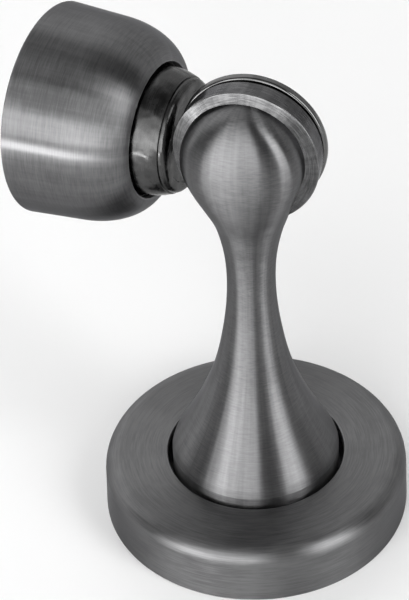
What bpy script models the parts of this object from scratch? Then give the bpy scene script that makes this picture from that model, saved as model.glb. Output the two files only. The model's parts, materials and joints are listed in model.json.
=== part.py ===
"""Magnetic floor door holder: a post on a floor rosette, and a bell-shaped door part on its magnet.

The origin is on the post's axis at floor level, +Z is up. Driving dimensions are in millimetres.
Two inclined frames carry the turned pieces: the head frame, whose local Z runs out of the magnet's
face, and the door frame, whose local Z runs from the bell's mouth back to the door.
"""

import math

import bmesh
import bpy
from mathutils import Vector

MM = 0.001
GAP = 0.3

# Floor rosette and what it covers
COVER_FOOT_R = 25.0
COVER_TOP_R = 24.65
COVER_HEIGHT = 9.7
COVER_EDGE_R = 2.5
COVER_WALL = 1.2
COVER_HOLE_R = 14.45
PLATE_R = 21.8
PLATE_THICK = 3.0
PLATE_BOSS_R = 12.0
PLATE_BOSS_TOP = 4.2
SCREW_CIRCLE_R = 17.4
SCREW_HOLE_R = 2.3
SCREW_SINK_R = 3.9
SCREW_COUNT = 3
WASHER_HOLE_R = 3.5
WASHER_R = 5.8
WASHER_THICK = 0.85
FOOT_RECESS_R = 6.2
FOOT_RECESS_DEPTH = 1.2
GRIP_RING_HEIGHT = 1.6
GRIP_RING_WIRE_R = 0.8

# Post: radii of the turned trumpet at their heights, from the foot's rim to below the ball
FOOT_BOTTOM = PLATE_BOSS_TOP + GAP
FOOT_R = 13.6
TRUMPET = [
    (11.0, 13.6),
    (12.5, 13.1),
    (16.0, 11.2),
    (21.0, 8.75),
    (28.0, 6.15),
    (36.0, 4.5),
    (43.0, 3.8),
    (49.0, 3.95),
    (54.0, 4.85),
    (58.5, 6.3),
]
BALL_R = 9.18
BALL_HEIGHT = 68.3
BALL_START = -4.0
BALL_OFFSET = 2.85
BALL_FLATTENED = 0.4
BALL_KEPT = 2.5
LEAN_START = 55.3
LEAN_END = 65.3
STUD_R = 3.0
STUD_TOP = 17.0
STUD_BOTTOM = 1.3
FOOT_SCREW_HEIGHT = 7.6
GRUB_R = 1.5

# Head: along its own axis, 0 at the post's axis, positive towards the magnet's face
HEAD_HEIGHT = 67.9
HEAD_HEADING = 16.7
FLANGE_FRONT = -1.45
FLANGE_SLOPE = 0.33
FLANGE_CONE_R = 8.0
FLANGE_BACK = 2.0
FLANGE_R = 11.1
FLANGE_BACK_R = 10.9
POCKET_R = 7.6
POCKET_FLOOR = -3.0
RECESS_R = 9.9
RECESS_FLOOR = 1.2
CUP_RIM_R = 11.15
CUP_RIM_FRONT = 2.6
CUP_FACE = 4.1
CUP_BODY_R = 7.3
CUP_WALL = 1.0
MAGNET_R = 6.0
MAGNET_FACE = 3.5
MAGNET_SINK_R = 3.3
MAGNET_SINK_DEPTH = 1.5
MAGNET_SCREW_HEAD_R = 2.8
MAGNET_SCREW_TIP = -8.6

# Door part: along its own axis, 0 at the mouth's lip, positive back towards the door
LIP_CENTRE = (-13.15, 11.6, 64.65)
DOOR_HEADING = 24.7
DOOR_DIP = 0.7
BELL_LIP_R = 10.35
BELL_SHOULDER = 4.9
BELL_SHOULDER_LENGTH = 9.0
BELL_TAPER = 0.07
BELL_LENGTH = 18.25
BELL_BORE_R = 12.15
BELL_BACK_BORE_R = 13.7
STOP_RING_R = 11.3
NOSE_CENTRE = 0.3
NOSE_R = 9.95
NOSE_FACE = -4.97
NOSE_BACK = 5.8
NOSE_GROOVE_AT = 3.95
SEAT_FROM, SEAT_TO = 54.0, 69.0
SEAT_THICK = 0.6
FOLLOWER_R = 11.85
FOLLOWER_FRONT = 2.6
FOLLOWER_BACK = 9.9
FOLLOWER_WEB = 1.0
FOLLOWER_HOLE_R = 4.3
BOLT_R = 2.0
BOLT_HEAD_R = 6.8
BOLT_HEAD_FRONT = 11.3
BOLT_HEAD_BACK = 12.5
BOLT_TIP = 1.0
BOLT_SOCKET_R = 1.6
SPRING_R = 10.2
SPRING_WIRE_R = 0.5
SPRING_TURNS = 2.25
DOOR_PLATE_R = 13.4
DOOR_PLATE_FRONT = 15.4
DOOR_SCREW_SPACING = 16.0
BELL_SCREW_AT = 16.1

FINE_STEPS = 44
PLAIN_STEPS = 28
SMALL_STEPS = 16


def clear_scene():
    for obj in list(bpy.data.objects):
        bpy.data.objects.remove(obj, do_unlink=True)


def new_collection(name):
    collection = bpy.data.collections.new(name)
    bpy.context.scene.collection.children.link(collection)
    return collection


def make_material(name, colour, metallic, roughness):
    material = bpy.data.materials.new(name)
    material.use_nodes = True
    shader = material.node_tree.nodes["Principled BSDF"]
    shader.inputs["Base Color"].default_value = (*colour, 1.0)
    shader.inputs["Metallic"].default_value = metallic
    shader.inputs["Roughness"].default_value = roughness
    return material


def make_axis(name, origin, direction, collection):
    """An empty at origin, in millimetres, with its local Z along direction."""
    axis = bpy.data.objects.new(name, None)
    axis.location = Vector(origin) * MM
    axis.rotation_euler = Vector(direction).to_track_quat("Z", "Y").to_euler()
    collection.objects.link(axis)
    return axis


def arc(radius, height, bend, start, end, count):
    """Points of a bend of an outline about (radius, height), from start to end in degrees from +X."""
    angles = [math.radians(start + (end - start) * i / count) for i in range(count + 1)]
    return [(radius + bend * math.cos(a), height + bend * math.sin(a)) for a in angles]


def smooth_curve(points, pieces):
    """A curve through (height, radius) points, as (radius, height) points, pieces to each stretch."""
    slopes = []
    for i in range(len(points)):
        before, after = points[max(i - 1, 0)], points[min(i + 1, len(points) - 1)]
        slopes.append((after[1] - before[1]) / (after[0] - before[0]))
    outline = []
    for i in range(len(points) - 1):
        (z0, r0), (z1, r1) = points[i], points[i + 1]
        span = z1 - z0
        for k in range(pieces):
            t = k / pieces
            radius = (1 + 2 * t) * (1 - t) ** 2 * r0 + t * t * (3 - 2 * t) * r1
            radius += span * (t * (1 - t) ** 2 * slopes[i] - t * t * (1 - t) * slopes[i + 1])
            outline.append((radius, z0 + t * span))
    outline.append((points[-1][1], points[-1][0]))
    return outline


def turned(name, outline, collection, parent=None, steps=PLAIN_STEPS):
    """Turns an outline of (radius, height) points, in millimetres, about its parent's Z axis.

    The outline runs down the outer side. It closes on itself unless both ends are on the axis.
    """
    mesh = bpy.data.meshes.new(name)
    points = [(radius * MM, 0.0, height * MM) for radius, height in outline]
    edges = [(i, i + 1) for i in range(len(points) - 1)]
    if outline[0][0] > 0 or outline[-1][0] > 0:
        edges.append((len(points) - 1, 0))
    mesh.from_pydata(points, edges, [])
    obj = bpy.data.objects.new(name, mesh)
    obj.parent = parent
    collection.objects.link(obj)
    screw = obj.modifiers.new("turn", "SCREW")
    screw.axis = "Z"
    screw.steps = steps
    screw.render_steps = steps
    screw.use_merge_vertices = True
    screw.merge_threshold = 0.00002
    screw.use_smooth_shade = True
    return obj


def rod(name, radius, low, high, collection, parent, sides=SMALL_STEPS):
    """A straight cylinder along its parent's Z axis, from low to high."""
    mesh = bpy.data.meshes.new(name)
    shape = bmesh.new()
    bmesh.ops.create_cone(
        shape,
        cap_ends=True,
        segments=sides,
        radius1=radius * MM,
        radius2=radius * MM,
        depth=(high - low) * MM,
    )
    shape.to_mesh(mesh)
    shape.free()
    obj = bpy.data.objects.new(name, mesh)
    obj.parent = parent
    obj.location = (0.0, 0.0, (low + high) / 2 * MM)
    collection.objects.link(obj)
    return obj


def baked(obj):
    """Replaces an object's modifiers by the mesh that they make."""
    graph = bpy.context.evaluated_depsgraph_get()
    mesh = bpy.data.meshes.new_from_object(obj.evaluated_get(graph))
    obj.modifiers.clear()
    obj.data = mesh
    return obj


def as_cutter(obj):
    obj.hide_render = True
    obj.display_type = "WIRE"
    return obj


def boolean(obj, other, operation="DIFFERENCE"):
    as_cutter(other)
    step = obj.modifiers.new(operation.lower(), "BOOLEAN")
    step.operation = operation
    step.solver = "EXACT"
    step.object = other


def finish(obj, material, smooth_angle=35.0):
    """Gives the piece its material, and shades its round faces smooth."""
    obj.data.materials.clear()
    obj.data.materials.append(material)
    if obj.type == "MESH" and len(obj.data.polygons):
        obj.data.shade_smooth()
        obj.data.set_sharp_from_angle(angle=math.radians(smooth_angle))
    return obj


# ---------------------------------------------------------------- floor rosette


def cover_outline():
    """Half section of the rosette: outer wall with its rounded edge, flat top, hole, inner side."""
    edge_z = COVER_HEIGHT - COVER_EDGE_R
    outer = arc(COVER_TOP_R - COVER_EDGE_R, edge_z, COVER_EDGE_R, 90.0, 0.0, 6)
    inner_edge = COVER_EDGE_R - COVER_WALL
    inner = arc(COVER_TOP_R - COVER_EDGE_R, edge_z, inner_edge, 0.0, 90.0, 4)
    hole = [
        (COVER_HOLE_R, COVER_HEIGHT - COVER_WALL),
        (COVER_HOLE_R, COVER_HEIGHT - 0.2),
        (COVER_HOLE_R + 0.2, COVER_HEIGHT),
    ]
    rim = [(COVER_FOOT_R, 0.3), (COVER_FOOT_R - 0.3, 0.0), (COVER_FOOT_R - COVER_WALL - 0.1, 0.0)]
    return outer + rim + inner + hole


def build_cover(parts, material):
    return finish(turned("rosette_cover", cover_outline(), parts, steps=FINE_STEPS), material)


def plate_outline():
    """Half section of the floor plate: boss with a blind hole, edge with the grip ring's groove."""
    groove = GRIP_RING_WIRE_R + 0.35
    groove_side = arc(PLATE_R + 0.35, GRIP_RING_HEIGHT, groove, 120.0, 240.0, 4)
    return [
        (0.0, STUD_BOTTOM - GAP),
        (STUD_R + GAP, STUD_BOTTOM - GAP),
        (STUD_R + GAP, PLATE_BOSS_TOP),
        (PLATE_BOSS_R - 0.3, PLATE_BOSS_TOP),
        (PLATE_BOSS_R, PLATE_BOSS_TOP - 0.3),
        (PLATE_BOSS_R, PLATE_THICK),
        (PLATE_R, PLATE_THICK),
        *groove_side,
        (PLATE_R, 0.0),
        (0.0, 0.0),
    ]


def countersink_outline(hole_r, sink_r, face, back):
    """A countersunk screw hole that opens at face and runs through to back, with some to spare."""
    side = 1.0 if face > back else -1.0
    depth = sink_r - hole_r
    outline = [
        (0.0, face + side),
        (sink_r, face + side),
        (sink_r, face),
        (hole_r, face - side * depth),
        (hole_r, back - side),
        (0.0, back - side),
    ]
    return outline if side > 0 else outline[::-1]


def build_floor_plate(parts, cutters, material):
    plate = turned("floor_plate", plate_outline(), parts, steps=FINE_STEPS)
    hole = countersink_outline(SCREW_HOLE_R, SCREW_SINK_R, PLATE_THICK, 0.0)
    for i in range(SCREW_COUNT):
        angle = math.radians(90.0 + 360.0 * i / SCREW_COUNT)
        cutter = turned(f"cut_floor_screw_{i}", hole, cutters, steps=SMALL_STEPS)
        spot = Vector((math.cos(angle), math.sin(angle), 0.0))
        cutter.location = spot * SCREW_CIRCLE_R * MM
        boolean(plate, cutter)
    return finish(plate, material)


def build_post_stud(parts, material):
    outline = [
        (0.0, STUD_TOP),
        (STUD_R - 0.5, STUD_TOP),
        (STUD_R, STUD_TOP - 0.5),
        (STUD_R, STUD_BOTTOM + 0.5),
        (STUD_R - 0.5, STUD_BOTTOM),
        (0.0, STUD_BOTTOM),
    ]
    return finish(turned("post_stud", outline, parts, steps=SMALL_STEPS), material)


def ring_outline(inner_r, outer_r, low, high, edge=0.0):
    """A flat ring's section, with its outer edges broken by edge."""
    return [
        (inner_r, high),
        (outer_r - edge, high),
        (outer_r, high - edge),
        (outer_r, low + edge),
        (outer_r - edge, low),
        (inner_r, low),
    ]


def build_lock_washer(parts, cutters, material):
    """A spring washer in the foot's recess, split so that it bites."""
    low = FOOT_BOTTOM + 0.05
    outline = ring_outline(WASHER_HOLE_R, WASHER_R, low, low + WASHER_THICK, 0.15)
    washer = turned("lock_washer", outline, parts)
    baked(washer)
    slot = bpy.data.meshes.new("cut_washer_slot")
    shape = bmesh.new()
    bmesh.ops.create_cube(shape, size=1.0)
    bmesh.ops.scale(shape, vec=Vector((4.0, 0.6, 3.0)) * MM, verts=shape.verts)
    shape.to_mesh(slot)
    shape.free()
    cutter = bpy.data.objects.new("cut_washer_slot", slot)
    cutter.location = Vector(((WASHER_HOLE_R + WASHER_R) / 2, 0.0, low + WASHER_THICK / 2)) * MM
    cutter.rotation_euler = (math.radians(25.0), 0.0, 0.0)
    cutters.objects.link(cutter)
    boolean(washer, cutter)
    return finish(washer, material)


def build_grip_ring(parts, material):
    """The rubber ring round the plate that the cover is pushed down over."""
    outline = arc(PLATE_R + 0.35, GRIP_RING_HEIGHT, GRIP_RING_WIRE_R, 90.0, -270.0, 10)[:-1]
    return finish(turned("grip_ring", outline, parts, steps=FINE_STEPS), material)


# ---------------------------------------------------------------- post and head


def post_outline():
    """Half section of foot, trumpet, neck and ball, all upright about the post's axis."""
    start_r = math.sqrt(BALL_R**2 - BALL_START**2)
    trumpet = smooth_curve([*TRUMPET, (BALL_HEIGHT + BALL_START, start_r)], 2)
    start = math.degrees(math.atan2(BALL_START, start_r))
    ball = arc(0.0, BALL_HEIGHT, BALL_R, start, 90.0, 11)[1:-1]
    rising = [
        (0.0, FOOT_BOTTOM),
        (FOOT_R - 0.4, FOOT_BOTTOM),
        (FOOT_R, FOOT_BOTTOM + 0.4),
        *trumpet,
        *ball,
        (0.0, BALL_HEIGHT + BALL_R),
    ]
    return rising[::-1]


def lean_over(obj, heading):
    """Moves the ball off the post's axis, opposite to the magnet, and flattens its front.

    Both set in smoothly along the neck.
    """
    for vertex in obj.data.vertices:
        rise = (vertex.co.z / MM - LEAN_START) / (LEAN_END - LEAN_START)
        rise = min(max(rise, 0.0), 1.0)
        share = rise * rise * (3 - 2 * rise)
        ahead = max(-vertex.co.dot(heading), 0.0)
        pressed = ahead - BALL_KEPT * MM * math.tanh(ahead / (BALL_KEPT * MM))
        shift = pressed * BALL_FLATTENED - BALL_OFFSET * MM
        vertex.co += heading * shift * share


def flange_outline():
    """Solid disc that stands out round the ball, with a conical front and its corner just broken."""
    cone_front = FLANGE_FRONT - (FLANGE_R - FLANGE_CONE_R) * FLANGE_SLOPE
    return [
        (0.0, FLANGE_BACK),
        (FLANGE_BACK_R - 0.15, FLANGE_BACK),
        (FLANGE_BACK_R, FLANGE_BACK - 0.15),
        (FLANGE_R, FLANGE_FRONT + 0.25),
        (FLANGE_R - 0.25, FLANGE_FRONT),
        (FLANGE_CONE_R, cone_front),
        (0.0, cone_front),
    ]


def head_pocket_outline():
    """What is cut from the head's back: clearance for the cup's rim, washer recess and pocket."""
    return [
        (0.0, FLANGE_BACK + 6.0),
        (CUP_RIM_R + GAP, FLANGE_BACK + 6.0),
        (CUP_RIM_R + GAP, FLANGE_BACK),
        (RECESS_R, FLANGE_BACK),
        (RECESS_R, RECESS_FLOOR),
        (POCKET_R, RECESS_FLOOR),
        (POCKET_R, POCKET_FLOOR),
        (0.0, POCKET_FLOOR),
    ]


def build_post(parts, cutters, head_axis, foot_screw_axis, heading, material):
    post = baked(turned("post", post_outline(), parts, steps=FINE_STEPS))
    lean_over(post, heading)
    flange = turned("add_flange", flange_outline(), cutters, head_axis, FINE_STEPS)
    boolean(post, flange, "UNION")
    pocket = turned("cut_head_pocket", head_pocket_outline(), cutters, head_axis)
    boolean(post, pocket)
    screw_hole = rod("cut_magnet_screw", GRUB_R + 0.2, MAGNET_SCREW_TIP - 0.4, 0.0, cutters, head_axis)
    boolean(post, screw_hole)
    socket = [
        (0.0, STUD_TOP + GAP),
        (STUD_R + GAP, STUD_TOP + GAP),
        (STUD_R + GAP, FOOT_BOTTOM + FOOT_RECESS_DEPTH),
        (FOOT_RECESS_R, FOOT_BOTTOM + FOOT_RECESS_DEPTH),
        (FOOT_RECESS_R, FOOT_BOTTOM - 2.0),
        (0.0, FOOT_BOTTOM - 2.0),
    ]
    boolean(post, turned("cut_stud_socket", socket, cutters, steps=SMALL_STEPS))
    grub_hole = rod("cut_foot_screw", GRUB_R + GAP, 1.0, 15.0, cutters, foot_screw_axis)
    boolean(post, grub_hole)
    return finish(post, material)


def build_grub_screw(name, low, high, parts, cutters, parent, material):
    """A headless screw along its parent's Z axis, with a hexagon socket at its high end."""
    outline = [
        (0.0, high),
        (GRUB_R - 0.25, high),
        (GRUB_R, high - 0.25),
        (GRUB_R, low + 0.6),
        (GRUB_R - 0.6, low),
        (0.0, low),
    ]
    screw = turned(name, outline, parts, parent, SMALL_STEPS)
    depth = min(1.6, (high - low) * 0.4)
    boolean(screw, rod(f"cut_{name}", 0.85, high - depth, high + 1.0, cutters, parent, 6))
    return finish(screw, material)


def build_buffer_washer(parts, head_axis, material):
    """Black rubber between flange and cup, in the recess of the flange."""
    outline = ring_outline(7.9, RECESS_R - GAP, RECESS_FLOOR + GAP, CUP_RIM_FRONT - GAP, 0.1)
    return finish(turned("buffer_washer", outline, parts, head_axis, FINE_STEPS), material)


def build_magnet_cup(parts, head_axis, material):
    """Polished steel cup: a round rim that stands out as far as the flange, and a thimble behind."""
    inner_r = CUP_BODY_R - CUP_WALL
    floor = POCKET_FLOOR + GAP
    edge = 0.45
    rim = arc(CUP_RIM_R - edge, CUP_FACE - edge, edge, 90.0, 0.0, 3)
    rim += arc(CUP_RIM_R - edge, CUP_RIM_FRONT + edge, edge, 0.0, -90.0, 3)
    outline = [
        (inner_r + 0.2, CUP_FACE),
        *rim,
        (CUP_BODY_R, CUP_RIM_FRONT),
        (CUP_BODY_R, floor + 0.4),
        (CUP_BODY_R - 0.4, floor),
        (GRUB_R + 0.2, floor),
        (GRUB_R + 0.2, floor + CUP_WALL),
        (inner_r, floor + CUP_WALL),
        (inner_r, CUP_FACE - 0.2),
    ]
    return finish(turned("magnet_cup", outline, parts, head_axis, FINE_STEPS), material)


def build_magnet(parts, head_axis, material):
    """Nickel-plated ring magnet with a countersunk hole."""
    floor = POCKET_FLOOR + GAP + CUP_WALL + GAP
    outline = [
        (MAGNET_SINK_R, MAGNET_FACE),
        (MAGNET_R - 0.3, MAGNET_FACE),
        (MAGNET_R, MAGNET_FACE - 0.3),
        (MAGNET_R, floor + 0.3),
        (MAGNET_R - 0.3, floor),
        (GRUB_R + 0.3, floor),
        (GRUB_R + 0.3, MAGNET_FACE - MAGNET_SINK_DEPTH),
    ]
    return finish(turned("magnet", outline, parts, head_axis), material)


def build_magnet_screw(parts, cutters, head_axis, material):
    """Countersunk screw through magnet and cup into the ball."""
    shank = GRUB_R - 0.1
    outline = [
        (0.0, MAGNET_FACE - 0.3),
        (MAGNET_SCREW_HEAD_R, MAGNET_FACE - 0.3),
        (shank, MAGNET_FACE - 1.7),
        (shank, MAGNET_SCREW_TIP + 0.6),
        (shank - 0.5, MAGNET_SCREW_TIP),
        (0.0, MAGNET_SCREW_TIP),
    ]
    screw = turned("magnet_screw", outline, parts, head_axis, SMALL_STEPS)
    socket = rod("cut_magnet_socket", 1.1, MAGNET_FACE - 1.4, MAGNET_FACE, cutters, head_axis, 6)
    boolean(screw, socket)
    return finish(screw, material)


# ---------------------------------------------------------------- door part


def build_keeper_nose(parts, cutters, door_axis, material):
    """Polished steel nose: ball, groove and rounded front ring, with a slightly sunk face."""
    front = -NOSE_FACE
    groove_r = math.sqrt(NOSE_R**2 - (NOSE_GROOVE_AT + NOSE_CENTRE) ** 2)
    ring = arc(groove_r - 1.15, front - 1.0, 1.0, 15.0, 90.0, 4)
    start = math.degrees(math.asin((NOSE_GROOVE_AT + NOSE_CENTRE) / NOSE_R))
    end = -math.degrees(math.asin((NOSE_BACK - NOSE_CENTRE) / NOSE_R))
    ball = arc(0.0, -NOSE_CENTRE, NOSE_R, start, end, 12)
    outline = [
        (0.0, front - 0.3),
        (groove_r - 2.1, front - 0.3),
        (groove_r - 1.8, front),
        *ring[::-1],
        (groove_r - 0.3, NOSE_GROOVE_AT + 0.18),
        *ball,
        (0.0, -NOSE_BACK),
    ]
    flipped = [(radius, -height) for radius, height in outline][::-1]
    nose = turned("keeper_nose", flipped, parts, door_axis, FINE_STEPS)
    thread = (BOLT_TIP - GAP, NOSE_BACK + 1.0)
    boolean(nose, rod("cut_nose_thread", BOLT_R + GAP, *thread, cutters, door_axis))
    return finish(nose, material)


def build_keeper_bolt(parts, cutters, door_axis, material):
    """Wide-headed bolt that keeps the nose in its seat and still lets it rock."""
    outline = [
        (0.0, BOLT_HEAD_BACK),
        (BOLT_HEAD_R - 0.3, BOLT_HEAD_BACK),
        (BOLT_HEAD_R, BOLT_HEAD_BACK - 0.3),
        (BOLT_HEAD_R, BOLT_HEAD_FRONT),
        (BOLT_R, BOLT_HEAD_FRONT),
        (BOLT_R, BOLT_TIP + 0.5),
        (BOLT_R - 0.5, BOLT_TIP),
        (0.0, BOLT_TIP),
    ]
    bolt = turned("keeper_bolt", outline, parts, door_axis)
    socket = (BOLT_HEAD_FRONT + 0.3, BOLT_HEAD_BACK + 1.0)
    boolean(bolt, rod("cut_bolt_socket", BOLT_SOCKET_R, *socket, cutters, door_axis, 6))
    return finish(bolt, material)


def sphere_zone(radius, start, end, count):
    """Points on a sphere about the nose's centre, at angles from the door axis, in degrees."""
    angles = [math.radians(start + (end - start) * i / count) for i in range(count + 1)]
    return [(radius * math.sin(a), NOSE_CENTRE + radius * math.cos(a)) for a in angles]


def build_ball_seat(parts, door_axis, material):
    """Plastic ring with round faces inside and out, between the ball and the follower."""
    inner_r = NOSE_R + GAP
    outline = sphere_zone(inner_r + SEAT_THICK, SEAT_FROM, SEAT_TO, 4)
    outline += sphere_zone(inner_r, SEAT_TO, SEAT_FROM, 4)
    return finish(turned("ball_seat", outline, parts, door_axis), material)


def build_follower(parts, door_axis, material):
    """Cup that slides in the bell's bore and carries the seat, pushed forward by the spring."""
    hollow_r = NOSE_R + 2 * GAP + SEAT_THICK
    front_angle = math.degrees(math.acos((FOLLOWER_FRONT - NOSE_CENTRE) / hollow_r))
    hollow = sphere_zone(hollow_r, front_angle, 42.0, 8)
    web_front = FOLLOWER_BACK - FOLLOWER_WEB
    outline = [
        (FOLLOWER_HOLE_R, FOLLOWER_BACK),
        (FOLLOWER_R - 0.4, FOLLOWER_BACK),
        (FOLLOWER_R, FOLLOWER_BACK - 0.4),
        (FOLLOWER_R, FOLLOWER_FRONT + 0.3),
        (FOLLOWER_R - 0.3, FOLLOWER_FRONT),
        *hollow,
        (hollow[-1][0], web_front),
        (FOLLOWER_HOLE_R, web_front),
    ]
    return finish(turned("follower", outline, parts, door_axis), material)


def build_stop_ring(parts, door_axis, material):
    """Black rubber ring just inside the mouth, which the follower comes to rest on."""
    outline = ring_outline(10.3, STOP_RING_R, 1.2, FOLLOWER_FRONT - GAP, 0.15)
    return finish(turned("stop_ring", outline, parts, door_axis, FINE_STEPS), material)


def bell_radius(depth):
    """Outer radius of the bell at a depth from the lip: a round shoulder on a slight taper."""
    lack = max(1.0 - depth / BELL_SHOULDER_LENGTH, 0.0)
    return BELL_LIP_R + BELL_TAPER * depth + BELL_SHOULDER * math.sqrt(1.0 - lack * lack)


def bell_outline():
    rim_r = bell_radius(BELL_LENGTH)
    quarter = [math.pi / 2 * i / 9 for i in range(1, 10)]
    depths = [BELL_SHOULDER_LENGTH * (1.0 - math.cos(a)) for a in quarter]
    shoulder = [(bell_radius(depth), depth) for depth in depths]
    outer = [(BELL_LIP_R + 0.35, 0.0), *shoulder, (rim_r - 0.02, BELL_LENGTH - 0.25)]
    inner = [
        (BELL_BACK_BORE_R, BELL_LENGTH),
        (BELL_BACK_BORE_R, 9.0),
        (BELL_BORE_R, 7.5),
        (BELL_BORE_R, FOLLOWER_FRONT - GAP),
        (STOP_RING_R + GAP, FOLLOWER_FRONT - GAP),
        (STOP_RING_R + GAP, 0.9),
        (BELL_LIP_R, 0.9),
        (BELL_LIP_R, 0.35),
        (BELL_LIP_R + 0.1, 0.1),
    ]
    return outer[::-1] + inner[::-1] + [(rim_r - 0.25, BELL_LENGTH)]


def build_door_bell(parts, cutters, door_axis, bell_screw_axis, material):
    bell = turned("door_bell", bell_outline(), parts, door_axis, FINE_STEPS)
    hole = rod("cut_bell_screw", GRUB_R + GAP, 12.0, 20.0, cutters, bell_screw_axis)
    boolean(bell, hole)
    return finish(bell, material)


def build_door_plate(parts, cutters, door_axis, material):
    """Steel disc that is screwed to the door, and that the bell is slid over and clamped on."""
    outline = [
        (0.0, BELL_LENGTH),
        (DOOR_PLATE_R - 0.3, BELL_LENGTH),
        (DOOR_PLATE_R, BELL_LENGTH - 0.3),
        (DOOR_PLATE_R, DOOR_PLATE_FRONT + 0.4),
        (DOOR_PLATE_R - 0.4, DOOR_PLATE_FRONT),
        (0.0, DOOR_PLATE_FRONT),
    ]
    plate = turned("door_plate", outline, parts, door_axis, FINE_STEPS)
    hole = countersink_outline(SCREW_HOLE_R, SCREW_SINK_R, DOOR_PLATE_FRONT, BELL_LENGTH)
    for i, side in enumerate((-1.0, 1.0)):
        cutter = turned(f"cut_door_screw_{i}", hole, cutters, door_axis, SMALL_STEPS)
        cutter.location = (side * DOOR_SCREW_SPACING / 2 * MM, 0.0, 0.0)
        boolean(plate, cutter)
    return finish(plate, material)


def build_nose_spring(parts, door_axis, material):
    """Short coil between follower and door plate."""
    low = FOLLOWER_BACK + GAP + SPRING_WIRE_R
    high = DOOR_PLATE_FRONT - GAP - SPRING_WIRE_R
    per_turn = 20
    count = int(SPRING_TURNS * per_turn)
    curve = bpy.data.curves.new("nose_spring", "CURVE")
    curve.dimensions = "3D"
    curve.bevel_depth = SPRING_WIRE_R * MM
    curve.bevel_resolution = 2
    curve.use_fill_caps = True
    spline = curve.splines.new("POLY")
    spline.points.add(count)
    for i, point in enumerate(spline.points):
        turn = 2 * math.pi * i / per_turn
        height = low + (high - low) * i / count
        x, y = SPRING_R * math.cos(turn), SPRING_R * math.sin(turn)
        point.co = (x * MM, y * MM, height * MM, 1.0)
    spring = bpy.data.objects.new("nose_spring", curve)
    spring.parent = door_axis
    parts.objects.link(spring)
    return finish(spring, material)


def main():
    clear_scene()
    parts = new_collection("floor_door_holder")
    cutters = new_collection("cutters")

    satin = make_material("satin_nickel", (0.30, 0.30, 0.31), 1.0, 0.34)
    polished = make_material("polished_nickel", (0.42, 0.42, 0.43), 1.0, 0.12)
    zinc_steel = make_material("zinc_plated_steel", (0.55, 0.56, 0.58), 1.0, 0.4)
    bright_nickel = make_material("magnet_plating", (0.62, 0.62, 0.63), 1.0, 0.2)
    rubber = make_material("black_rubber", (0.02, 0.02, 0.02), 0.0, 0.7)
    acetal = make_material("acetal", (0.82, 0.82, 0.80), 0.0, 0.45)
    spring_steel = make_material("spring_steel", (0.35, 0.35, 0.36), 1.0, 0.3)

    turn = math.radians(HEAD_HEADING)
    heading = Vector((math.sin(turn), math.cos(turn), 0.0))
    head_axis = make_axis("head_axis", (0.0, 0.0, HEAD_HEIGHT), heading, parts)
    foot_screw_axis = make_axis("foot_screw_axis", (0.0, 0.0, FOOT_SCREW_HEIGHT), (0, 1, 0), parts)

    swing, dip = math.radians(DOOR_HEADING), math.radians(DOOR_DIP)
    back = Vector((-math.cos(swing) * math.cos(dip), math.sin(swing) * math.cos(dip), -math.sin(dip)))
    door_axis = make_axis("door_axis", LIP_CENTRE, back, parts)
    below = Vector((0.0, 0.0, -1.0))
    below -= back * below.dot(back)
    clamp_at = Vector(LIP_CENTRE) + back * BELL_SCREW_AT
    bell_screw_axis = make_axis("bell_screw_axis", clamp_at, below, parts)

    build_floor_plate(parts, cutters, zinc_steel)
    build_post_stud(parts, zinc_steel)
    build_lock_washer(parts, cutters, spring_steel)
    build_grip_ring(parts, rubber)
    build_cover(parts, satin)

    build_post(parts, cutters, head_axis, foot_screw_axis, heading, satin)
    foot_span = (STUD_R + GAP + 0.2, FOOT_R - 0.6)
    build_grub_screw("foot_grub_screw", *foot_span, parts, cutters, foot_screw_axis, zinc_steel)
    build_buffer_washer(parts, head_axis, rubber)
    build_magnet_cup(parts, head_axis, polished)
    build_magnet(parts, head_axis, bright_nickel)
    build_magnet_screw(parts, cutters, head_axis, zinc_steel)

    build_keeper_nose(parts, cutters, door_axis, polished)
    build_keeper_bolt(parts, cutters, door_axis, zinc_steel)
    build_ball_seat(parts, door_axis, acetal)
    build_follower(parts, door_axis, zinc_steel)
    build_stop_ring(parts, door_axis, rubber)
    build_door_bell(parts, cutters, door_axis, bell_screw_axis, satin)
    build_door_plate(parts, cutters, door_axis, zinc_steel)
    bell_span = (DOOR_PLATE_R + GAP, bell_radius(BELL_SCREW_AT) - 0.3)
    build_grub_screw("bell_grub_screw", *bell_span, parts, cutters, bell_screw_axis, zinc_steel)
    build_nose_spring(parts, door_axis, spring_steel)


main()
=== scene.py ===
"""The visual model of a magnetic floor door holder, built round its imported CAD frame.

The pieces are turned again with fine steps and rounded edges, about the same axes as their CAD
nodes. Five that others hide keep their CAD shapes. All get procedural finishes.

Outlines are (radius, height) points about a piece's own Z axis, in millimetres: the post's axis for
the floor half, the head's axis for the magnet and the flange round it (height 0 at the post's axis,
positive towards the magnet's face), and the door axis for the bell and its nose (height 0 at the
mouth's lip, positive towards the door).
"""

import json
import math

import bmesh
import bpy
from mathutils import Matrix, Vector


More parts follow.
